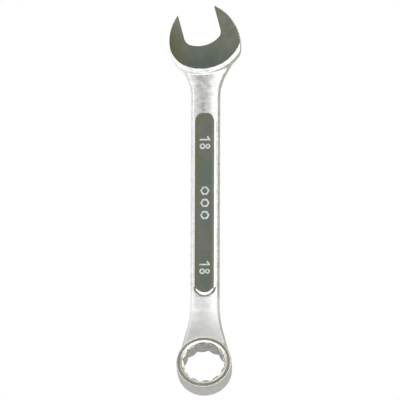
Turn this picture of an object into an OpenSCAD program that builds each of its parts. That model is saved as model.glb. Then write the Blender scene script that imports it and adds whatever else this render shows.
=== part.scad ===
// Raised-panel combination wrench, 18 mm across flats.
// One drop forging, laid flat: open end towards +Y, ring end towards -Y,
// +Z up. The origin is under the middle of its bounding box, on the surface
// it lies on. All sizes in millimetres.
// The forging is drawn as zones that meet face to face, so that each zone can
// carry its own finish: open_end, shank, box_end and the two raised panels.

/* [Nominal size] */
// Width across flats of the nut that both ends fit
af = 18; // [17:0.5:19]
// Clearance added to the nut size at the open end
jaw_clearance = 0.2; // [0.1:0.05:0.4]
// Clearance added to the nut size at the ring end
ring_clearance = 0.2; // [0.1:0.05:0.4]

/* [Open end] */
// Thickness of the head over its two polished faces
head_t = 8.4; // [7.6:0.1:9.2]
// Angle between the jaw and the shank
jaw_angle = 15; // [10:1:18]
// Radius of each cheek of the head
cheek_r = 21.8; // [21.2:0.1:22.6]
// Offset of a cheek's centre from the jaw's centre line
cheek_off = 4.6; // [4.2:0.1:5]
// Height of the cheeks' centres above the throat
cheek_up = 1; // [0:0.1:2]
// Radius of the back of the head at mid-thickness
back_r = 21.5; // [21:0.1:22]
// Radius of the polished face at the back of the head
face_r = 20; // [19.5:0.1:20.5]
// Distance from the throat to the centre of the back arc
back_off = 8; // [7.5:0.1:8.5]
// Sideways offset of that centre
back_side = 0.5; // [0:0.1:0.8]
// Radius of the throat
throat_r = 13.8; // [12.8:0.1:15]
// Height of the jaw tips above the throat
tip_v = 17; // [16:0.1:17.2]

/* [Shank] */
// Width of the shank
shank_w = 14.2; // [13:0.1:14.6]
// Thickness of the shank, without the panels
shank_t = 6.4; // [5.6:0.1:7]
// Rounding of the shank's long edges
edge_r = 1.6; // [0.8:0.1:2.2]
// Radius of the flares into the open end
flare_r = 22.3; // [21:0.1:25]
// Radius of the flare into the ring end
neck_r = 54.4; // [50:0.2:60]

/* [Raised panels] */
// Width of a panel
panel_w = 9.4; // [8:0.1:10]
// Length of a panel
panel_l = 88.2; // [70:0.2:94]
// Height of a panel above the shank
panel_h = 0.7; // [0.4:0.05:0.9]
// Radius of a panel's rounded ends
panel_end_r = 4.75; // [4.75:0.05:8]
// Depth of the stamped size number
stamp_d = 0.25; // [0.1:0.05:0.35]
// Height of the stamped digits
digit_h = 5.2; // [4:0.1:6]
// Width of the three stamped nut outlines in the middle of a panel
nut_mark_w = 4.6; // [3.6:0.1:5.2]

/* [Ring end] */
// Outer diameter of the ring
ring_d = 26.5; // [26:0.1:27.4]
// Thickness of the ring
ring_t = 10.8; // [10:0.1:12]
// Tilt of the ring against the shank
ring_angle = 15; // [10:1:16]
// Outer diameter of the lead-in chamfer
lead_d = 22.8; // [22:0.1:23.4]
// Turn of the twelve-point opening about the ring's axis
star_turn = -9.5; // [-15:0.5:15]
// Rounding of the ring's outer edges
ring_edge_r = 0.6; // [0.3:0.1:1]

/* [Overall] */
// Distance from the ring's centre to the throat of the jaw
throat_y = 158.3; // [150:0.1:165]

/* [Hidden] */
$fn = 96;

jaw_w = af + jaw_clearance;
ring_af = af + ring_clearance;
zm = head_t / 2;                      // mid-plane of the shank and head
hs = shank_t / 2;                     // half thickness of the shank
hw = shank_w / 2;                     // half width of the shank
ring_r = ring_d / 2;
// The ring's lowest edge touches the same surface as the head's lower face.
ring_z = (ring_r - ring_edge_r) * sin(ring_angle) + (ring_t / 2 - ring_edge_r) * cos(ring_angle) + ring_edge_r;
// Ends of the wrench along Y, measured from the ring's centre.
tip_u = jaw_w / 2 + 0.35;
tip_top = throat_y + tip_u * sin(jaw_angle) + tip_v * cos(jaw_angle);
ring_bot = -(ring_r * cos(ring_angle)) - (ring_t / 2 - ring_edge_r) * sin(ring_angle);
ring_y = -(tip_top + ring_bot) / 2;   // puts the origin halfway along
jaw_y = ring_y + throat_y;            // throat of the jaw
// Where the zones meet.
cut_open = ring_y + 132;
cut_box = ring_y + 34;
// The flares into the open end start here, on the -X and +X sides, and end on
// the back of the head, at the two ends of this line.
flare_y = [cut_open + 1.1, cut_open + 0.8];
flare_a = 29.7;                       // slope that a flare runs on with
flare_end = [[-11.7, ring_y + 147.5], [15, ring_y + 152.4]];
head_c = [back_side * cos(jaw_angle) - back_off * sin(jaw_angle),
          jaw_y + back_side * sin(jaw_angle) + back_off * cos(jaw_angle)];
// Neck into the ring: arc, then a straight line tangent to the ring.
neck_t = 31.4;                        // start of the arc, from the ring's centre
neck_a = 15.5;                        // slope of the straight part, degrees
tan_p = [ring_r * cos(neck_a), ring_r * sin(neck_a)];
arc_p = [hw + neck_r * (1 - cos(neck_a)), neck_t - neck_r * sin(neck_a)];
panel_y = ring_y + 80.3;              // middle of the panels

// ---------- shared profiles ----------

// Section of what is removed beside a bar of half thickness h: x = 0 is the
// bar's side, +x is away from it, y is across the thickness.
module side_cut_2d(h, e) {
  difference() {
    translate([-e, -12]) square([40 + e, 24]);
    translate([-e - 1, -(h - e)]) square([e + 1, 2 * (h - e)]);
    for (s = [-1, 1]) translate([-e, s * (h - e)]) circle(r = e, $fn = 48);
    translate([-e - 1, -h]) square([1, 2 * h]);
  }
}

// Cutter that leaves a concave side of radius r with rounded edges.
module arc_cut(r, h, e) {
  rotate_extrude($fn = 120) intersection() {
    translate([r, 0]) mirror([1, 0]) side_cut_2d(h, e);
    translate([0, -12]) square([r + e, 24]);
  }
}

// Cutter that leaves a straight side along +Y from the origin, material at -x.
module straight_cut(l, h, e) {
  rotate([90, 0, 0]) mirror([0, 0, 1]) linear_extrude(height = l) side_cut_2d(h, e);
}

// Disc with a shoulder: radius r at mid-thickness, rf on both flat faces.
module shouldered_disc(r, rf, t, s) {
  rotate_extrude($fn = 120)
    polygon([[0, -t / 2], [rf, -t / 2], [r, -t / 2 + s], [r, t / 2 - s], [rf, t / 2], [0, t / 2]]);
}

// Twelve-point star: two hexagons of the given width across flats.
module star(w) {
  for (a = [0, 30]) rotate(a) circle(d = w / cos(30), $fn = 6);
}

// ---------- size number ----------

// Digits with flat-ended strokes of width w, standing on y = 0.
module digit_one(h, w) {
  polygon([[-w / 2, 0], [w / 2, 0], [w / 2, h], [-w / 4, h], [-0.3 * h, 0.82 * h],
           [-0.3 * h, 0.82 * h - w], [-w / 2, h - 1.35 * w]]);
}

module digit_eight(h, w) {
  for (p = [[0.27 * h, 0.27 * h], [0.76 * h, 0.24 * h]])
    translate([0, p[0]]) rotate(15) difference() {
      circle(r = p[1], $fn = 12);
      circle(r = p[1] - w, $fn = 12);
    }
}

// "18", centred, reading along -Y with the tops of the digits towards +X.
module size_mark() {
  w = 0.15 * digit_h;
  rotate(-90) translate([0, -digit_h / 2]) {
    translate([-0.33 * digit_h, 0]) digit_one(digit_h, w);
    translate([0.3 * digit_h, 0]) digit_eight(digit_h, w);
  }
}

// Three plain hexagon outlines in a row along Y, each the shape of a nut.
module nut_marks() {
  for (i = [-1, 0, 1]) translate([0, i * 1.3 * nut_mark_w]) difference() {
    circle(d = nut_mark_w, $fn = 6);
    circle(d = nut_mark_w - 2 * 0.15 * digit_h, $fn = 6);
  }
}

// ---------- zones of the forging ----------

// Jaw gap, in the jaw's own frame: throat at the origin, mouth along +Y.
module jaw_gap_2d() {
  intersection() {
    translate([-jaw_w / 2, -1]) square([jaw_w, 40]);
    union() {
      translate([0, throat_r]) circle(r = throat_r, $fn = 120);
      translate([-15, throat_r]) square([30, 30]);
    }
  }
  polygon([[-jaw_w / 2, tip_v - 0.9], [jaw_w / 2, tip_v - 0.9],
           [jaw_w / 2 + 2, tip_v + 1.4], [-jaw_w / 2 - 2, tip_v + 1.4]]);
}

module open_end() {
  color([0.42, 0.44, 0.41]) difference() {
    union() {
      // head
      translate([0, jaw_y, zm]) rotate(jaw_angle) difference() {
        intersection() {
          translate([back_side, back_off, 0]) shouldered_disc(back_r, face_r, head_t, 1.5);
          translate([cheek_off, cheek_up, 0]) shouldered_disc(cheek_r, cheek_r - 0.4, head_t, 0.4);
          translate([-cheek_off, cheek_up, 0]) shouldered_disc(cheek_r, cheek_r - 0.4, head_t, 0.4);
          translate([-30, -30, -10]) cube([60, 30 + tip_v, 20]);
        }
      }
      // flare from the shank
      translate([0, 0, zm]) difference() {
        translate([0, 0, -hs]) linear_extrude(height = 2 * hs) difference() {
          translate([-17, cut_open]) square([34, jaw_y - 5 - cut_open]);
          difference() {
            polygon([flare_end[0] - [10, 1.1], flare_end[0], flare_end[1], flare_end[1] + [10, 1.1],
                     [20, jaw_y], [-20, jaw_y]]);
            translate(head_c) circle(r = back_r - 0.3, $fn = 120);
          }
        }
        for (s = [0, 1]) {
          translate([0, flare_y[s], 0]) mirror([1 - s, 0, 0]) translate([hw + flare_r, 0, 0]) arc_cut(flare_r, hs, edge_r);
          translate([0, flare_y[s], 0]) mirror([1 - s, 0, 0])
            translate([hw + flare_r * (1 - cos(flare_a)), flare_r * sin(flare_a), 0]) rotate(-flare_a)
              translate([-0.04, -2, 0]) straight_cut(18, hs, edge_r);
          translate([0, cut_open - 1, 0]) mirror([1 - s, 0, 0]) translate([hw, 0, 0])
            straight_cut(flare_y[s] - cut_open + 1, hs, edge_r);
        }
      }
    }
    translate([0, jaw_y, -1]) rotate(jaw_angle) linear_extrude(height = head_t + 2) jaw_gap_2d();
  }
}

module shank() {
  color([0.86, 0.86, 0.86]) translate([0, 0, zm]) difference() {
    translate([-hw, cut_box, -hs]) cube([2 * hw, cut_open - cut_box, 2 * hs]);
    for (s = [0, 1]) mirror([s, 0, 0])
      translate([hw, cut_box - 1, 0]) straight_cut(cut_open - cut_box + 2, hs, edge_r);
  }
}

module panel(up) {
  z0 = up ? zm + hs : zm - hs - panel_h;
  difference() {
    translate([0, panel_y, z0]) linear_extrude(height = panel_h) intersection() {
      translate([-panel_w / 2, -panel_l / 2]) square([panel_w, panel_l]);
      union() {
        for (s = [-1, 1]) translate([0, s * (panel_l / 2 - panel_end_r)]) circle(r = panel_end_r, $fn = 64);
        translate([-panel_w, -(panel_l / 2 - panel_end_r)]) square([2 * panel_w, panel_l - 2 * panel_end_r]);
      }
    }
    translate([0, panel_y, up ? z0 + panel_h - stamp_d : z0 - 1])
      linear_extrude(height = 1 + stamp_d) mirror([up ? 0 : 1, 0]) {
        translate([0, 0.335 * panel_l]) size_mark();
        translate([0, -0.365 * panel_l]) size_mark();
        nut_marks();
      }
  }
}

module front_panel() { color([0.42, 0.44, 0.42]) panel(true); }

module back_panel() { color([0.42, 0.44, 0.42]) panel(false); }

module box_end() {
  color([0.68, 0.68, 0.67]) difference() {
    union() {
      // ring
      translate([0, ring_y, ring_z]) rotate([-ring_angle, 0, 0]) rotate_extrude($fn = 120)
        difference() {
          translate([0, -ring_t / 2]) square([ring_r, ring_t]);
          for (s = [-1, 1]) translate([ring_r - ring_edge_r, s * (ring_t / 2 - ring_edge_r)]) difference() {
            translate([0, s > 0 ? 0 : -2]) square([2, 2]);
            circle(r = ring_edge_r, $fn = 32);
          }
        }
      // neck between the shank and the ring
      intersection() {
        translate([0, ring_y, 0]) difference() {
          linear_extrude(height = 20)
            polygon([[-hw, 34], [hw, 34], [hw, neck_t], arc_p, tan_p, [0, 0],
                     [-tan_p[0], tan_p[1]], [-arc_p[0], arc_p[1]], [-hw, neck_t]]);
          for (s = [0, 1]) mirror([s, 0, 0]) translate([hw + neck_r, neck_t, -1]) cylinder(r = neck_r, h = 30, $fn = 240);
        }
        // side view of the neck: it thickens towards the ring
        translate([-20, ring_y, 0]) rotate([90, 0, 90]) linear_extrude(height = 40)
          polygon([[34, zm - hs], [34, zm + hs], [27, zm + hs], [20, zm + hs + 0.9],
                   [(ring_r - ring_edge_r) * cos(ring_angle) + ring_t / 2 * sin(ring_angle),
                    ring_z + ring_t / 2 * cos(ring_angle) - (ring_r - ring_edge_r) * sin(ring_angle)],
                   [0, ring_z + 5], [0, ring_z - 5],
                   [(ring_r - ring_edge_r) * cos(ring_angle) - ring_t / 2 * sin(ring_angle), 0],
                   [17, zm - hs - 0.5], [22, zm - hs]]);
      }
    }
    // twelve-point opening with a lead-in at each face
    translate([0, ring_y, ring_z]) rotate([-ring_angle, 0, 0]) {
      translate([0, 0, -ring_t]) linear_extrude(height = 2 * ring_t) rotate(star_turn) star(ring_af);
      for (s = [0, 1]) mirror([0, 0, s])
        translate([0, 0, ring_t / 2 - 1.6]) cylinder(r1 = lead_d / 2 - 2, r2 = lead_d / 2 + 0.25, h = 1.8, $fn = 96);
    }
  }
}

open_end();
shank();
box_end();
front_panel();
back_panel();
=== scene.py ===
# Looks of the combination wrench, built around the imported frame.
# Every zone of the forging is meshed from one smooth description of the whole
# shape, so the zones meet without a seam, with crisp edges where the polished
# flats end. Lengths in the shape functions are millimetres, in the row frame.
import bpy
import math
import numpy as np
from mathutils import Vector, Matrix


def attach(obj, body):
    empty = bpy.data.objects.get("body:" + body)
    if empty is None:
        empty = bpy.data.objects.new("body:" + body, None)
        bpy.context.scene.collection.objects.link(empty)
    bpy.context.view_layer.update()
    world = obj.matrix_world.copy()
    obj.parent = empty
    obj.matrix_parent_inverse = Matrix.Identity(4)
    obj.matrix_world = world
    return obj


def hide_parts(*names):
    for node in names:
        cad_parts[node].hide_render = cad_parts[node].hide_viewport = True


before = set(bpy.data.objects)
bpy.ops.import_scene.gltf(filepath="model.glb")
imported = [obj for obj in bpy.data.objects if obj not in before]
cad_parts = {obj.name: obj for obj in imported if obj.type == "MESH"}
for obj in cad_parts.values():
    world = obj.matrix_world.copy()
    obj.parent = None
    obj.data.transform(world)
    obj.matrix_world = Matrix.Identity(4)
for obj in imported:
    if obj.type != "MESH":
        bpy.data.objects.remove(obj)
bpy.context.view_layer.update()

# ----------------------------------------------------------------------------
# sizes, the same as the CAD design's
# ----------------------------------------------------------------------------
C15, S15 = math.cos(math.radians(15)), math.sin(math.radians(15))
RY, JY, RZ, ZM = -81.5629, 76.7371, 8.5105, 4.2
HW, HS = 7.1, 3.2
HEAD_H, BACK_R, FACE_R, BACK_OFF = 4.2, 21.5, 19.8, 8.3
CHEEK_R, CHEEK_OFF, CHEEK_UP, TIP_V = 22.0, 4.6, 1.0, 17.0
JAW_H, THROAT_R = 9.1, 13.8
RING_R, RING_H, RING_E, LEAD_R, LEAD_S, STAR_A, TURN = 13.38, 5.4, 0.5, 11.4, 0.6, 9.1, -9.5
LAND_R, LEAD_D = 10.5, 0.54
PAN_Y, PAN_H = RY + 80.3, 0.7
CUT_OPEN, CUT_BOX = RY + 132.0, RY + 34.0


# ----------------------------------------------------------------------------
# shape
# ----------------------------------------------------------------------------
def rmax(a, b, r):
    """Intersection of two shapes, its edge rounded to radius r."""
    return np.minimum(-r, np.maximum(a, b)) + np.hypot(np.maximum(a + r, 0), np.maximum(b + r, 0))


def rmin(a, b, r):
    """Union of two shapes, with a fillet of radius r."""
    return -rmax(-a, -b, r)


def smooth(t):
    t = np.clip(t, 0, 1)
    return t * t * (3 - 2 * t)


def jaw_uv(x, y):
    yy = y - JY
    return x * C15 + yy * S15, -x * S15 + yy * C15


SLOPE_S, SLOPE_C, WALL_IN = math.sin(math.radians(14)), math.cos(math.radians(14)), 0.22


def head(x, y, z):
    u, v = jaw_uv(x, y)
    zz = np.minimum(np.abs(z - ZM) / HEAD_H, 1.3)
    rt = smooth(u / 8 + 0.5)
    cheeks = np.maximum(np.hypot(u - CHEEK_OFF, v - CHEEK_UP), np.hypot(u + CHEEK_OFF, v - CHEEK_UP)) - CHEEK_R
    mid = np.hypot(u + 0.15 - 0.8 * rt, v - 7.9) - BACK_R
    face = np.hypot(u - 0.15 - 0.45 * rt, v - BACK_OFF) - FACE_R
    wall = rmax(mid, cheeks, 1.0 - 0.4 * rt)
    edge = rmax(face, cheeks, 3.0 - 2.4 * rt)
    wall = (wall + WALL_IN * zz ** 2) / np.sqrt(1 + (0.48 * WALL_IN * zz) ** 2)
    slope = edge * SLOPE_S + (np.abs(z - ZM) - HEAD_H) * SLOPE_C
    d = rmax(wall, slope, 0.32)
    d = rmax(d, v - TIP_V - 1.0, 0.35)
    return np.maximum(d, np.abs(z - ZM) - HEAD_H)


def jaw_gap(x, y):
    u, v = jaw_uv(x, y)
    slot = np.abs(u) - JAW_H
    throat = np.hypot(u, np.minimum(v - THROAT_R, 0)) - THROAT_R
    d = rmax(slot, throat, 1.7)
    mouth = np.maximum((np.abs(u) - JAW_H - (v - TIP_V - 0.6)) * 0.7071, TIP_V - v)
    return np.minimum(d, mouth)


def arc_width(t, t0, r, a_max):
    """Half width added past t0 by an arc of radius r that ends at slope a_max and goes on straight."""
    dt = np.maximum(t - t0, 0)
    ta, sa, ca = math.tan(a_max), math.sin(a_max), math.cos(a_max)
    on = dt < r * sa
    arc = r - np.sqrt(np.maximum(r * r - np.minimum(dt, r * sa) ** 2, 0))
    w = np.where(on, arc, r * (1 - ca) + (dt - r * sa) * ta)
    s = np.where(on, dt / np.sqrt(np.maximum(r * r - np.minimum(dt, r * sa) ** 2, 1e-6)), ta)
    return w, s


CROWN = 1.0
RISE = 1.35


def crown(x, w):
    return CROWN * (x / w) ** 2


def bar(x, y, z):
    """Shank with its flares: plan outline, crowned faces, rounded edges."""
    t = y - RY
    wr, sr = arc_width(t, 133.2, 22.3, math.radians(29.7))
    wl, sl = arc_width(t, 133.1, 22.3, math.radians(29.7))
    wb, sb = arc_width(-t, -31.4, 54.4, math.radians(15.5))
    wo, so = np.where(x > 0, wr, wl), np.where(x > 0, sr, sl)
    w = HW + wo + wb
    wc = HW + 0.35 * wo + 0.7 * wb
    side = (np.abs(x) - w) / np.sqrt(1 + (so + sb) ** 2)
    up = smooth((27.5 - t) / 14.0)
    top = ZM + HS - crown(x, wc) * (1 - 0.55 * up) + RISE * up
    slope = RISE * 6 / 14.0 * np.clip((27.5 - t) / 14.0, 0, 1) * (1 - np.clip((27.5 - t) / 14.0, 0, 1))
    bot = ZM - HS + crown(x, wc) - 0.55 * smooth((25.0 - t) / 12.0)
    e = 1.6
    d = rmax(side, (z - top) / np.sqrt(1 + slope ** 2), e)
    return rmax(d, bot - z, e)


def ring_xyz(x, y, z):
    return x, (y - RY) * C15 - (z - RZ) * S15, (y - RY) * S15 + (z - RZ) * C15


def star(x, y):
    """Twelve-point opening: union of two hexagons, turned a little about the ring's axis."""
    hexes = []
    for off in (30.0, 0.0):
        a = None
        for k in range(3):
            th = math.radians(off + TURN + 60 * k)
            p = np.abs(x * math.cos(th) + y * math.sin(th))
            a = p if a is None else np.maximum(a, p)
        hexes.append(a - STAR_A)
    return np.minimum(hexes[0], hexes[1])


def ring_outer(x, y, z):
    a, b, c = ring_xyz(x, y, z)
    r = np.hypot(a, b)
    side = r - (RING_R - 0.18 * (c / RING_H) ** 2)
    return rmax(side, np.abs(c) - RING_H, RING_E - 0.32 * smooth(0.4 - b / 12))


def ring_lead(r, c):
    """Lead-in at each face: a chamfer down to a narrow land round the opening."""
    d = RING_H - np.abs(c)
    return np.maximum((d - LEAD_S * (LEAD_R - r)) / math.hypot(LEAD_S, 1.0), d - LEAD_D - 0.12 * (LAND_R - r))


def ring_hole(x, y, z):
    a, b, c = ring_xyz(x, y, z)
    r = np.hypot(a, b)
    return rmin(np.minimum(star(a, b), r - 9.62), ring_lead(r, c), 0.1)


def whole(x, y, z):
    """The forging without its panels: negative inside."""
    t = y - RY
    b = bar(x, y, z)
    end = -0.184 * (x + 11.7) + 0.983 * (t - 147.5)
    d_open = rmin(head(x, y, z), np.maximum(b, end), 1.0)
    d_open = np.maximum(d_open, -jaw_gap(x, y))
    d_box = rmin(ring_outer(x, y, z), np.maximum(b, 4.0 - t), 1.3)
    d_box = np.maximum(d_box, -ring_hole(x, y, z))
    return np.where(t > 100, d_open, np.where(t < 40, d_box, b))


def open_end(x, y, z):
    return np.maximum(whole(x, y, z), CUT_OPEN - y)


def shank(x, y, z):
    return np.maximum(bar(x, y, z), np.maximum(y - CUT_OPEN, CUT_BOX - y))


def box_end(x, y, z):
    return np.maximum(whole(x, y, z), y - CUT_BOX)


# ---- raised panel ----------------------------------------------------------
def outline(x, y, hw, y0, y1, r):
    """Long rounded rectangle: negative inside."""
    qx, qy = np.abs(x) - (hw - r), np.abs(y - (y0 + y1) / 2) - ((y1 - y0) / 2 - r)
    return np.hypot(np.maximum(qx, 0), np.maximum(qy, 0)) + np.minimum(np.maximum(qx, qy), 0) - r


DH, DW = 5.2, 0.80


def seg(px, py, ax, ay, bx, by):
    dx, dy = bx - ax, by - ay
    h = np.clip(((px - ax) * dx + (py - ay) * dy) / (dx * dx + dy * dy), 0, 1)
    return np.hypot(px - ax - h * dx, py - ay - h * dy)


def size_mark(x, y):
    """Distance to the strokes of "18", reading along -y with the tops towards +x."""
    gx, gy = -y, x + DH / 2
    ox = -0.33 * DH
    one = np.minimum(seg(gx, gy, ox, 0.35, ox, DH - 0.35), seg(gx, gy, ox, DH - 0.35, ox - 0.26 * DH, 0.76 * DH))
    ex = 0.3 * DH
    r1, r2 = 0.27 * DH - DW / 2, 0.24 * DH - DW / 2
    eight = np.minimum(np.abs(np.hypot(gx - ex, gy - 0.27 * DH) - r1), np.abs(np.hypot(gx - ex, gy - 0.76 * DH) - r2))
    return np.minimum(one, eight)


def nut_mark(x, y):
    """Distance to three hexagon outlines in a row along y."""
    d = None
    for i in (-1, 0, 1):
        a = None
        for k in range(3):
            th = math.radians(30 + 60 * k)
            p = np.abs(x * math.cos(th) + (y - i * 5.98) * math.sin(th))
            a = p if a is None else np.maximum(a, p)
        q = np.abs(a - (2.3 * 0.866 - DW / 2))
        d = q if d is None else np.minimum(d, q)
    return d


def marks(x, y):
    return np.minimum(np.minimum(size_mark(x, y - 29.5), size_mark(x, y + 32.1)), nut_mark(x, y)) - DW / 2


def panel(x, y, zz):
    """Panel over the shank's upper face; zz is the height over the shank's middle line."""
    yy = y - PAN_Y
    ds = outline(x, yy, 4.0, -44.1, 43.0, np.where(yy < 0, 4.0, 3.2))
    db = outline(x, yy, 5.55, -46.1, 44.65, np.where(yy < 0, 5.5, 4.6))
    s = np.clip(ds / np.maximum(ds - db, 1e-6), 0, 1.2)
    low = -crown(x, HW) - 0.06
    side = np.where(s < 0.86, 0.2 * s * s, 0.148 + 0.852 * (s - 0.86) / 0.14)
    near = np.where(s < 0.54, 0.5 * s / 0.54, 0.5 + 0.5 * (s - 0.54) / 0.46)
    f = side + (near - side) * smooth((-yy - 41.5) / 3.0)
    top = PAN_H + (low - PAN_H) * f
    g = marks(x, yy)
    top = top - np.where(ds < 0, np.clip(-g * 1.1, 0, 0.28), 0)
    d = np.maximum((zz - top) * 0.85, np.maximum(db, -1.35 - zz))
    return d


def front_panel(x, y, z):
    return panel(x, y, z - ZM - HS)


def back_panel(x, y, z):
    return panel(-x, y, ZM - HS - z)


# ----------------------------------------------------------------------------
# meshing: dual contouring, so edges and corners of the shape stay crisp
# ----------------------------------------------------------------------------
def evaluate(f, p):
    out = np.empty(len(p))
    for i in range(0, len(p), 400000):
        q = p[i:i + 400000]
        out[i:i + 400000] = f(q[:, 0], q[:, 1], q[:, 2])
    return out


def gradient(f, p, e=0.004):
    g = np.empty_like(p)
    for a in range(3):
        d = np.zeros(3)
        d[a] = e
        g[:, a] = evaluate(f, p + d) - evaluate(f, p - d)
    n = np.linalg.norm(g, axis=1, keepdims=True)
    return g / np.maximum(n, 1e-12)


def contour(f, xs, ys, zs):
    axes = [xs, ys, zs]
    shape = (len(xs), len(ys), len(zs))
    V = np.empty(shape)
    Y, Z = np.meshgrid(ys, zs, indexing="ij")
    for i, x in enumerate(xs):
        V[i] = f(np.full(Y.size, x), Y.ravel(), Z.ravel()).reshape(Y.shape)
    inside = V < 0
    pts, nrm, cells, quads = [], [], [], []
    cshape = np.array(shape) - 1

    def cid(c):
        return (c[:, 0] * cshape[1] + c[:, 1]) * cshape[2] + c[:, 2]

    for a in range(3):
        lo = [slice(None)] * 3
        hi = [slice(None)] * 3
        lo[a], hi[a] = slice(0, -1), slice(1, None)
        s0, s1 = inside[tuple(lo)], inside[tuple(hi)]
        idx = np.argwhere(s0 != s1)
        if not len(idx):
            continue
        b, c = (a + 1) % 3, (a + 2) % 3
        ok = (idx[:, b] > 0) & (idx[:, c] > 0) & (idx[:, b] < shape[b] - 1) & (idx[:, c] < shape[c] - 1)
        idx = idx[ok]
        j = idx.copy()
        j[:, a] += 1
        p0 = np.stack([axes[k][idx[:, k]] for k in range(3)], 1)
        p1 = np.stack([axes[k][j[:, k]] for k in range(3)], 1)
        v0, v1 = V[tuple(idx.T)], V[tuple(j.T)]
        l, r, fl, fr = np.zeros(len(idx)), np.ones(len(idx)), v0.copy(), v1.copy()
        for it in range(7):
            t = np.where(it % 3 == 2, (l + r) / 2, l + (r - l) * fl / np.where(fl == fr, 1e-12, fl - fr))
            t = np.clip(t, l, r)
            p = p0 + (p1 - p0) * t[:, None]
            v = evaluate(f, p)
            same = (v < 0) == (fl < 0)
            l, fl = np.where(same, t, l), np.where(same, v, fl)
            r, fr = np.where(same, r, t), np.where(same, fr, v)
        g = gradient(f, p)
        ids = []
        for db, dc in ((-1, -1), (0, -1), (0, 0), (-1, 0)):
            q = idx.copy()
            q[:, b] += db
            q[:, c] += dc
            k = cid(q)
            ids.append(k)
            pts.append(p)
            nrm.append(g)
            cells.append(k)
        q4 = np.stack(ids, 1)
        flip = ~s0[tuple(idx.T)]
        q4[flip] = q4[flip][:, ::-1]
        quads.append(q4)
    pts, nrm, cells, quads = np.concatenate(pts), np.concatenate(nrm), np.concatenate(cells), np.concatenate(quads)
    uid, inv = np.unique(cells, return_inverse=True)
    m = len(uid)
    cnt = np.bincount(inv, minlength=m).astype(float)
    mass = np.stack([np.bincount(inv, pts[:, k], m) for k in range(3)], 1) / cnt[:, None]
    A = np.zeros((m, 3, 3))
    for i in range(3):
        for k in range(i, 3):
            A[:, i, k] = np.bincount(inv, nrm[:, i] * nrm[:, k], m)
            A[:, k, i] = A[:, i, k]
    d = np.einsum("ij,ij->i", nrm, pts)
    B = np.stack([np.bincount(inv, nrm[:, k] * d, m) for k in range(3)], 1)
    B -= np.einsum("nij,nj->ni", A, mass)
    w, U = np.linalg.eigh(A)
    keep = w > 0.06 * w[:, 2:3]
    iw = np.where(keep, 1.0 / np.maximum(w, 1e-9), 0)
    x = mass + np.einsum("nij,nj->ni", U, iw * np.einsum("nji,nj->ni", U, B))
    ci = np.stack([uid // (cshape[1] * cshape[2]), (uid // cshape[2]) % cshape[1], uid % cshape[2]], 1)
    lo = np.stack([axes[k][ci[:, k]] for k in range(3)], 1)
    hi = np.stack([axes[k][ci[:, k] + 1] for k in range(3)], 1)
    x = np.clip(x, lo, hi)
    faces = np.searchsorted(uid, quads)
    return x, faces


def corner_normals(f, verts, faces):
    """Normal at each face corner, taken just inside that face, so edges stay crisp and curves smooth."""
    cen = verts[faces].mean(1)
    p = verts[faces] * 0.72 + cen[:, None, :] * 0.28
    n = gradient(f, p.reshape(-1, 3)).reshape(len(faces), 4, 3)
    a = verts[faces[:, 2]] - verts[faces[:, 0]]
    b = verts[faces[:, 3]] - verts[faces[:, 1]]
    fn = np.cross(a, b)
    fn /= np.maximum(np.linalg.norm(fn, axis=1, keepdims=True), 1e-12)
    bad = np.einsum("nkj,nj->nk", n, fn) < 0.35
    n[bad] = np.broadcast_to(fn[:, None, :], n.shape)[bad]
    return n, fn, cen


def grid(lo, hi, h):
    n = int(math.ceil((hi - lo) / h))
    return np.linspace(lo, hi, n + 1)


def build(name, f, xs, ys, zs, mats, classify, smooth_f=None):
    verts, faces = contour(f, xs, ys, zs)
    normals, fn, cen = corner_normals(smooth_f or f, verts, faces)
    if smooth_f is not None:          # caps where zones meet keep their own flat normal
        cap = np.abs(fn[:, 1]) > 0.98
        cap &= (np.abs(cen[:, 1] - CUT_OPEN) < 0.05) | (np.abs(cen[:, 1] - CUT_BOX) < 0.05)
        normals[cap] = fn[cap][:, None, :]
    me = bpy.data.meshes.new(name)
    me.vertices.add(len(verts))
    me.vertices.foreach_set("co", (verts / 1000.0).astype(np.float32).ravel())
    me.loops.add(faces.size)
    me.loops.foreach_set("vertex_index", faces.astype(np.int32).ravel())
    me.polygons.add(len(faces))
    me.polygons.foreach_set("loop_start", np.arange(0, faces.size, 4, dtype=np.int32))
    me.polygons.foreach_set("material_index", classify(cen, fn).astype(np.int32))
    me.update(calc_edges=True)
    me.validate(verbose=False)
    for m in mats:
        me.materials.append(m)
    me.polygons.foreach_set("use_smooth", np.ones(len(me.polygons), bool))
    if len(me.polygons) == len(faces):
        me.normals_split_custom_set(normals.reshape(-1, 3).astype(np.float32).tolist())
    ob = bpy.data.objects.new(name, me)
    bpy.context.scene.collection.objects.link(ob)
    print("PIECE", name, len(verts), "verts", len(faces), "quads")
    return ob


# ----------------------------------------------------------------------------
# materials
# ----------------------------------------------------------------------------
def new_mat(name):
    m = bpy.data.materials.new(name)
    m.use_nodes = True
    nt = m.node_tree
    nt.nodes.clear()
    out = nt.nodes.new("ShaderNodeOutputMaterial")
    bsdf = nt.nodes.new("ShaderNodeBsdfPrincipled")
    nt.links.new(bsdf.outputs[0], out.inputs[0])
    return m, nt, bsdf


def noise(nt, scale, detail=3.0, rough=0.55, vec=None, stretch=None, dist=0.0):
    tc = nt.nodes.new("ShaderNodeTexCoord")
    src = tc.outputs["Object"]
    if stretch is not None:
        mp = nt.nodes.new("ShaderNodeMapping")
        mp.inputs["Scale"].default_value = stretch
        nt.links.new(src, mp.inputs["Vector"])
        src = mp.outputs[0]
    n = nt.nodes.new("ShaderNodeTexNoise")
    n.inputs["Scale"].default_value = scale
    n.inputs["Detail"].default_value = detail
    n.inputs["Roughness"].default_value = rough
    n.inputs["Distortion"].default_value = dist
    nt.links.new(src, n.inputs["Vector"])
    return n.outputs["Fac"]


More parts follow.
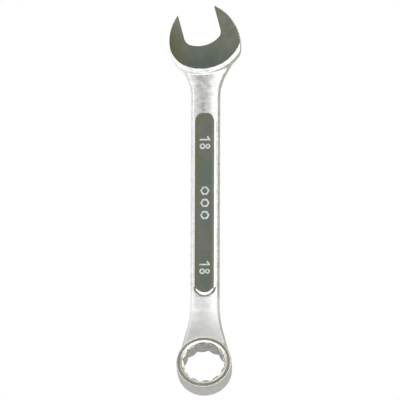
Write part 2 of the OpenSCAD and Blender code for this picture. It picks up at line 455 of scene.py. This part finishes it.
def remap(nt, fac, a, b, lo, hi):
    r = nt.nodes.new("ShaderNodeMapRange")
    r.inputs["From Min"].default_value = a
    r.inputs["From Max"].default_value = b
    r.inputs["To Min"].default_value = lo
    r.inputs["To Max"].default_value = hi
    nt.links.new(fac, r.inputs["Value"])
    return r.outputs[0]


def ramp(nt, fac, c0, c1, p0=0.35, p1=0.65):
    r = nt.nodes.new("ShaderNodeValToRGB")
    e = r.color_ramp.elements
    e[0].position, e[0].color = p0, (*c0, 1)
    e[1].position, e[1].color = p1, (*c1, 1)
    nt.links.new(fac, r.inputs[0])
    return r.outputs[0]


def bump(nt, bsdf, height, strength, distance):
    b = nt.nodes.new("ShaderNodeBump")
    b.inputs["Strength"].default_value = strength
    b.inputs["Distance"].default_value = distance
    nt.links.new(height, b.inputs["Height"])
    nt.links.new(b.outputs[0], bsdf.inputs["Normal"])
    return b


def polished(name, c0, c1, r0, r1):
    """Belt-polished chrome flat: near mirror with faint hairlines and haze."""
    m, nt, bs = new_mat(name)
    bs.inputs["Metallic"].default_value = 1.0
    haze = noise(nt, 120.0, 4.0, 0.6)
    nt.links.new(ramp(nt, haze, c0, c1, 0.3, 0.7), bs.inputs["Base Color"])
    nt.links.new(remap(nt, haze, 0.3, 0.7, r0, r1), bs.inputs["Roughness"])
    lines = noise(nt, 60.0, 2.0, 0.5, stretch=(90.0, 4.0, 90.0))
    bump(nt, bs, lines, 0.12, 0.00004)
    return m


def satin(name, c0, c1, r0, r1, metal=1.0, grain=0.35, near=None):
    """Satin chrome over a tumbled forging: fine pits, soft mottling."""
    m, nt, bs = new_mat(name)
    bs.inputs["Metallic"].default_value = metal
    mott = noise(nt, 420.0, 4.0, 0.6, dist=0.3)
    col = ramp(nt, mott, c0, c1, 0.36, 0.62)
    if near is not None:              # painted shade: darker base colour close to the ring
        col = mix_rgb(nt, along(nt, 0.0, -1.0, 54.0, 64.0), col, near)
    nt.links.new(col, bs.inputs["Base Color"])
    nt.links.new(remap(nt, noise(nt, 420.0, 3.0, 0.6), 0.3, 0.7, r0, r1), bs.inputs["Roughness"])
    pits = noise(nt, 1500.0, 3.0, 0.7)
    bump(nt, bs, pits, grain, 0.00006)
    return m


def mix_rgb(nt, fac, c0, c1):
    m = nt.nodes.new("ShaderNodeMix")
    m.data_type = "RGBA"
    nt.links.new(fac, m.inputs["Factor"])
    for name, c in (("A", c0), ("B", c1)):
        sock = [i for i in m.inputs if i.name == name and i.type == "RGBA"][0]
        if isinstance(c, tuple):
            sock.default_value = (*c, 1)
        else:
            nt.links.new(c, sock)
    return [o for o in m.outputs if o.type == "RGBA"][0]


def along(nt, kx, ky, a, b):
    """0 to 1 as kx*x + ky*y (mm in the object's frame) runs from a to b, with soft noise on it."""
    tc = nt.nodes.new("ShaderNodeTexCoord")
    sp = nt.nodes.new("ShaderNodeSeparateXYZ")
    nt.links.new(tc.outputs["Object"], sp.inputs[0])
    mx = nt.nodes.new("ShaderNodeMath")
    mx.operation = "MULTIPLY"
    mx.inputs[1].default_value = kx * 1000.0
    nt.links.new(sp.outputs["X"], mx.inputs[0])
    my = nt.nodes.new("ShaderNodeMath")
    my.operation = "MULTIPLY_ADD"
    my.inputs[1].default_value = ky * 1000.0
    nt.links.new(sp.outputs["Y"], my.inputs[0])
    nt.links.new(mx.outputs[0], my.inputs[2])
    wob = nt.nodes.new("ShaderNodeMath")
    wob.operation = "MULTIPLY_ADD"
    wob.inputs[1].default_value = 0.9 * (b - a)
    nt.links.new(noise(nt, 110.0, 3.0, 0.6), wob.inputs[0])
    nt.links.new(my.outputs[0], wob.inputs[2])
    mid = 0.45 * (b - a)
    return remap(nt, wob.outputs[0], a + mid, b + mid, 0.0, 1.0)


def face_flat(name, tip, back, olive):
    """Polished flat of the head, with a painted reflection: warm towards the tips, green-grey towards the back."""
    m, nt, bs = new_mat(name)
    bs.inputs["Metallic"].default_value = 1.0
    # painted reflection: green-grey at the back blending to warm at the tips
    col = mix_rgb(nt, along(nt, 0.0, 1.0, 66.0, 88.0), back, tip)
    spots = remap(nt, noise(nt, 210.0, 3.0, 0.55, dist=0.4), 0.46, 0.66, 0.0, 0.55)
    col = mix_rgb(nt, spots, col, (0.52, 0.66, 0.60))
    col = mix_rgb(nt, remap(nt, noise(nt, 160.0, 2.0, 0.5, stretch=(1.3, 0.9, 1.0)), 0.5, 0.68, 0.0, 0.6), col, (0.80, 0.74, 0.66))
    # painted reflection: olive towards the left rim of the flat
    col = mix_rgb(nt, along(nt, -1.0, -0.35, -16.5, -10.0), col, olive)
    nt.links.new(col, bs.inputs["Base Color"])
    nt.links.new(remap(nt, noise(nt, 120.0, 4.0, 0.6), 0.3, 0.7, 0.07, 0.14), bs.inputs["Roughness"])
    bump(nt, bs, noise(nt, 60.0, 2.0, 0.5, stretch=(90.0, 4.0, 90.0)), 0.12, 0.00004)
    return m


def panel_flat(name, grey, olive, green):
    """Polished panel: green-grey with soft olive and brownish patches."""
    m, nt, bs = new_mat(name)
    bs.inputs["Metallic"].default_value = 1.0
    n1 = remap(nt, noise(nt, 95.0, 2.0, 0.5, dist=0.4), 0.45, 0.62, 0.0, 1.0)
    n2 = remap(nt, noise(nt, 150.0, 3.0, 0.55, stretch=(1.0, 0.6, 1.0)), 0.48, 0.64, 0.0, 0.55)
    col = mix_rgb(nt, n2, mix_rgb(nt, n1, grey, green), olive)
    # painted reflection: olive along the left side of the panel and near white along its right side
    col = mix_rgb(nt, along(nt, -1.0, 0.0, 2.6, 4.4), col, olive)
    col = mix_rgb(nt, along(nt, 1.0, 0.0, 2.9, 4.3), col, (0.97, 0.97, 0.97))
    nt.links.new(col, bs.inputs["Base Color"])
    nt.links.new(remap(nt, noise(nt, 200.0, 4.0, 0.6), 0.3, 0.7, 0.08, 0.16), bs.inputs["Roughness"])
    bump(nt, bs, noise(nt, 60.0, 2.0, 0.5, stretch=(90.0, 4.0, 90.0)), 0.12, 0.00004)
    return m


# painted reflection: the head flat's tip, back and olive colours stand in for reflected light and shade
M_FACE = face_flat("polished_face", (0.98, 0.93, 0.82), (0.50, 0.58, 0.53), (0.58, 0.54, 0.33))
# painted reflection: besides its random patches, the panel's olive and white side strips stand in for reflected light
# and shade
M_PAN = panel_flat("polished_panel", (0.75, 0.77, 0.76), (0.76, 0.72, 0.47), (0.60, 0.71, 0.66))
M_ANN = polished("polished_annulus", (0.86, 0.84, 0.74), (0.97, 0.95, 0.87), 0.14, 0.22)
M_SAT = satin("satin_chrome", (0.80, 0.81, 0.79), (0.99, 0.99, 0.99), 0.34, 0.44)
M_RING = satin("ring_satin", (0.84, 0.83, 0.82), (0.94, 0.93, 0.92), 0.32, 0.42)
# broached wall finish whose darker base colour is also painted shade for the recesses of the opening and the jaw
M_BROACHED_AND_SHADE = satin("broached_wall_shade", (0.56, 0.55, 0.53), (0.72, 0.71, 0.69), 0.28, 0.38)
M_CHAM = satin("lead_in_chamfer", (0.72, 0.70, 0.66), (0.90, 0.88, 0.84), 0.26, 0.36, metal=1.0, grain=0.12)
M_STAMP = satin("stamped_rough", (0.66, 0.67, 0.66), (0.82, 0.83, 0.82), 0.5, 0.6, metal=0.7)
# painted shade: the neck's satin gets a darker base colour towards the ring
M_NECK_SATIN_AND_SHADE = satin("satin_neck_and_shade", (0.86, 0.87, 0.86), (1.0, 1.0, 1.0), 0.38, 0.48, metal=0.62, near=(0.74, 0.735, 0.725))
M_EDGE = polished("panel_edge", (0.80, 0.80, 0.77), (0.88, 0.88, 0.86), 0.16, 0.24)
# painted shade: a dark material for the panel's foot, where the crease falls in shade
M_CREASE_SHADE = satin("panel_crease_shade", (0.17, 0.17, 0.14), (0.25, 0.25, 0.21), 0.3, 0.4, grain=0.15)
SLOTS = [M_FACE, M_SAT, M_RING, M_BROACHED_AND_SHADE, M_CHAM, M_STAMP, M_PAN, M_ANN, M_EDGE, M_CREASE_SHADE, M_NECK_SATIN_AND_SHADE]
POL, SAT, RNG, BRO, CHM, STP, PAN, ANN, EDG, FOOT_SHADE, NCK = range(11)


# ----------------------------------------------------------------------------
# pieces
# ----------------------------------------------------------------------------
def class_open(cen, fn):
    out = np.full(len(cen), SAT)
    flat = (np.abs(fn[:, 2]) > 0.995) & (np.abs(np.abs(cen[:, 2] - ZM) - HEAD_H) < 0.02)
    out[flat] = POL
    g = jaw_gap(cen[:, 0], cen[:, 1])
    inner = (np.abs(g) < 0.04) & (np.abs(fn[:, 2]) < 0.3)
    # painted shade: the jaw's inner walls get the darker wall material
    out[inner] = BRO
    return out


def class_box(cen, fn):
    out = np.full(len(cen), NCK)
    a, b, c = ring_xyz(cen[:, 0], cen[:, 1], cen[:, 2])
    r = np.hypot(a, b)
    nz = fn[:, 1] * S15 + fn[:, 2] * C15
    side = (np.abs(ring_outer(cen[:, 0], cen[:, 1], cen[:, 2])) < 0.05)
    out[side] = RNG
    out[(np.abs(nz) > 0.995) & (np.abs(np.abs(c) - RING_H) < 0.03) & (r < RING_R - 0.5)] = ANN
    hole = (np.abs(ring_hole(cen[:, 0], cen[:, 1], cen[:, 2])) < 0.06) & (r < LEAD_R + 0.1) & (np.abs(c) < RING_H + 0.05)
    # painted shade: the opening's walls and the rounding at its edge get the darker wall material
    out[hole] = BRO
    lead = np.abs(ring_lead(r, c)) < 0.05
    out[hole & lead & (np.abs(nz) > 0.75)] = CHM
    out[hole & lead & (np.abs(nz) > 0.95)] = ANN
    return out


def class_shank(cen, fn):
    return np.full(len(cen), SAT)


def class_panel(cen, fn):
    out = np.full(len(cen), PAN)
    g = marks(cen[:, 0] * np.sign(cen[:, 2] - ZM), cen[:, 1] - PAN_Y)
    h = np.abs(cen[:, 2] - ZM) - HS
    out[(g < -0.02) & (h > 0.2) & (h < PAN_H - 0.01)] = STP
    nz = np.abs(fn[:, 2])
    out[(nz < 0.985) & (out == PAN)] = EDG
    xs, yy = cen[:, 0] * np.sign(cen[:, 2] - ZM), cen[:, 1] - PAN_Y
    # painted shade: the steep foot on the panel's left side and round its near end gets the dark crease material
    out[(nz < 0.82) & (out == EDG) & (xs < -1.0)] = FOOT_SHADE
    out[(outline(xs, yy, 5.55, -46.1, 44.65, 5.5) > -0.92) & (out == EDG) & (yy < -41.5)] = FOOT_SHADE
    return out


H = 0.30
pieces = {}
pieces["open_end"] = build(
    "open_end_looks", open_end, grid(-18.15, 18.15, H), grid(CUT_OPEN - 0.15, 96.6, H), grid(-0.45, 8.85, H),
    SLOTS, class_open, whole)
pieces["shank"] = build(
    "shank_looks", shank, grid(-7.35, 7.35, 0.35), grid(CUT_BOX - 0.6, CUT_OPEN + 0.6, 1.2), grid(0.45, 7.95, 0.3),
    SLOTS, class_shank, bar)
pieces["box_end"] = build(
    "box_end_looks", box_end, grid(-13.95, 13.95, H), grid(-96.6, CUT_BOX + 0.15, H), grid(-0.45, 18.0, H),
    SLOTS, class_box, whole)


def panel_rows():
    fine = 0.17
    parts = []
    edges = [(-46.6, -40.0, 0.22), (-40.0, -37.0, 0.6), (-37.0, -27.2, fine), (-27.2, -9.5, 0.7), (-9.5, 9.5, fine),
             (9.5, 24.6, 0.7), (24.6, 34.4, fine), (34.4, 40.0, 0.6), (40.0, 46.6, 0.22)]
    for a, b, h in edges:
        n = int(round((b - a) / h))
        parts.append(np.linspace(a, b, n, endpoint=False))
    parts.append(np.array([46.6]))
    return np.concatenate(parts) + PAN_Y


PX = grid(-5.95, 5.95, 0.17)
pieces["front_panel"] = build(
    "front_panel_looks", front_panel, PX, panel_rows(), ZM + HS + np.array([-1.6, -1.2, -0.9, -0.7, -0.5, -0.35, -0.2, -0.07, 0.03, 0.13, 0.24, 0.36, 0.48, 0.6, 0.8]),
    SLOTS, class_panel)
pieces["back_panel"] = build(
    "back_panel_looks", back_panel, PX, panel_rows(), (ZM - HS - np.array([-1.6, -1.2, -0.9, -0.7, -0.5, -0.35, -0.2, -0.07, 0.03, 0.13, 0.24, 0.36, 0.48, 0.6, 0.8]))[::-1],
    SLOTS, class_panel)

for node, ob in pieces.items():
    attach(ob, "root")
    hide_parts(node)

# ----------------------------------------------------------------------------
# floor, light, camera
# ----------------------------------------------------------------------------
bpy.ops.mesh.primitive_plane_add(size=6.0, location=(0, 0, 0))
floor = bpy.context.object
floor.name = "floor"
fm = bpy.data.materials.new("floor_white")
fm.use_nodes = True
fnt = fm.node_tree
fnt.nodes.clear()
white = fnt.nodes.new("ShaderNodeEmission")
white.inputs["Color"].default_value = (1, 1, 1, 1)
bench = fnt.nodes.new("ShaderNodeEmission")      # what the chrome sees of the bench
geo = fnt.nodes.new("ShaderNodeNewGeometry")
fsep = fnt.nodes.new("ShaderNodeSeparateXYZ")
fnt.links.new(geo.outputs["Position"], fsep.inputs[0])


def fmap(sock, a, b):
    r = fnt.nodes.new("ShaderNodeMapRange")
    r.interpolation_type = "SMOOTHSTEP"
    r.inputs["From Min"].default_value = a
    r.inputs["From Max"].default_value = b
    fnt.links.new(sock, r.inputs["Value"])
    return r.outputs[0]


floor_col = mix_rgb(fnt, fmap(fsep.outputs["X"], -0.003, 0.003), (0.88, 0.88, 0.87), (0.45, 0.455, 0.39))
floor_col = mix_rgb(fnt, fmap(fsep.outputs["Y"], -0.055, -0.070), floor_col, (0.49, 0.485, 0.475))
fnt.links.new(floor_col, bench.inputs["Color"])
lp = fnt.nodes.new("ShaderNodeLightPath")
mix = fnt.nodes.new("ShaderNodeMixShader")
out = fnt.nodes.new("ShaderNodeOutputMaterial")
fnt.links.new(lp.outputs["Is Camera Ray"], mix.inputs[0])
fnt.links.new(bench.outputs[0], mix.inputs[1])
fnt.links.new(white.outputs[0], mix.inputs[2])
fnt.links.new(mix.outputs[0], out.inputs[0])
floor.data.materials.append(fm)

world = bpy.data.worlds.new("studio")
bpy.context.scene.world = world
world.use_nodes = True
wn = world.node_tree
wn.nodes.clear()


def wnode(kind, op=None, *vals):
    n = wn.nodes.new(kind)
    if op:
        n.operation = op
    for i, v in enumerate(vals):
        if v is None:
            continue
        if isinstance(v, (int, float)):
            n.inputs[i].default_value = v
        else:
            wn.links.new(v, n.inputs[i])
    return n.outputs[0]


def band(v, lo0, lo1, hi0, hi1):
    """1 between lo1 and hi0, falling softly to 0 at lo0 and hi1 (degrees)."""
    outs = []
    for a0, a1, b0, b1 in ((lo0, lo1, 0.0, 1.0), (hi0, hi1, 1.0, 0.0)):
        r = wn.nodes.new("ShaderNodeMapRange")
        r.interpolation_type = "SMOOTHSTEP"
        r.inputs["From Min"].default_value = a0
        r.inputs["From Max"].default_value = a1
        r.inputs["To Min"].default_value = b0
        r.inputs["To Max"].default_value = b1
        wn.links.new(v, r.inputs["Value"])
        outs.append(r.outputs[0])
    return wnode("ShaderNodeMath", "MULTIPLY", outs[0], outs[1])


def blend(fac, c0, c1):
    m = wn.nodes.new("ShaderNodeMix")
    m.data_type = "RGBA"
    wn.links.new(fac, m.inputs["Factor"])
    for name, c in (("A", c0), ("B", c1)):
        sock = [i for i in m.inputs if i.name == name and i.type == "RGBA"][0]
        if isinstance(c, tuple):
            sock.default_value = (*c, 1)
        else:
            wn.links.new(c, sock)
    return [o for o in m.outputs if o.type == "RGBA"][0]


tc = wn.nodes.new("ShaderNodeTexCoord")
sep = wn.nodes.new("ShaderNodeSeparateXYZ")
wn.links.new(tc.outputs["Generated"], sep.inputs[0])
DEG = 180.0 / math.pi
ax = wnode("ShaderNodeMath", "MULTIPLY", wnode("ShaderNodeMath", "ARCTAN2", sep.outputs["X"], sep.outputs["Z"]), DEG)
ay = wnode("ShaderNodeMath", "MULTIPLY", wnode("ShaderNodeMath", "ARCTAN2", sep.outputs["Y"], sep.outputs["Z"]), DEG)
# dark ceiling strip, a little to the left, running back past the open end
strip = wnode("ShaderNodeMath", "MULTIPLY", band(ax, -34.0, -24.0, 8.0, 15.0), band(ay, -20.0, -10.0, 56.0, 74.0))
tone = blend(band(ay, 14.0, 40.0, 200.0, 201.0), (0.205, 0.213, 0.190), (0.25, 0.245, 0.205))
room = blend(band(ax, 42.0, 58.0, 300.0, 301.0), (1.62, 1.62, 1.63), (0.46, 0.465, 0.40))
elev = wn.nodes.new("ShaderNodeMapRange")
elev.interpolation_type = "SMOOTHSTEP"
elev.inputs["From Min"].default_value = 0.38
elev.inputs["From Max"].default_value = 0.72
wn.links.new(sep.outputs["Z"], elev.inputs["Value"])
far = wn.nodes.new("ShaderNodeMapRange")          # the room stays bright down to the horizon past the open end
far.interpolation_type = "SMOOTHSTEP"
far.inputs["From Min"].default_value = 0.74
far.inputs["From Max"].default_value = 0.90
wn.links.new(sep.outputs["Y"], far.inputs["Value"])
lit = wnode("ShaderNodeMath", "MAXIMUM", elev.outputs[0], far.outputs[0])
room = blend(lit, blend(band(ax, 42.0, 58.0, 300.0, 301.0), (0.66, 0.66, 0.655), (0.42, 0.425, 0.36)), room)
sky = blend(strip, room, tone)
lpw = wn.nodes.new("ShaderNodeLightPath")
seen = blend(lpw.outputs["Is Camera Ray"], sky, (1.0, 1.0, 1.0))
bg = wn.nodes.new("ShaderNodeBackground")
bg.inputs["Strength"].default_value = 1.0
wn.links.new(seen, bg.inputs["Color"])
wo = wn.nodes.new("ShaderNodeOutputWorld")
wn.links.new(bg.outputs[0], wo.inputs[0])

# camera: long lens, a little below the middle and to the right
TILT, ROLL, K, SPIN = 10.4, 3.0, 2.06, 0.2
cam_dir = Vector((math.sin(math.radians(ROLL)), -math.sin(math.radians(TILT)), 0))
cam_dir.z = math.sqrt(1 - cam_dir.x ** 2 - cam_dir.y ** 2)
target = Vector((-0.00255, 0.00087, ZM / 1000))
DIST = 4.0
cam = bpy.data.cameras.new("camera")
cam_ob = bpy.data.objects.new("camera", cam)
bpy.context.scene.collection.objects.link(cam_ob)
fwd = -cam_dir
upv = Vector((0, 1, 0))
right = fwd.cross(upv).normalized()
upv = right.cross(fwd).normalized()
rot = Matrix((right, upv, -fwd)).transposed()
rot = rot @ Matrix.Rotation(math.radians(SPIN), 3, "Z")
cam_ob.matrix_world = Matrix.Translation(target + cam_dir * DIST) @ rot.to_4x4()
cam.sensor_width = 36.0
cam.lens = 36.0 * DIST / (0.4 / K)
cam.clip_end = 20
bpy.context.scene.camera = cam_ob

vs = bpy.context.scene.view_settings
vs.view_transform = "Standard"
vs.look = "None"
vs.exposure = 0.0
vs.gamma = 1.0
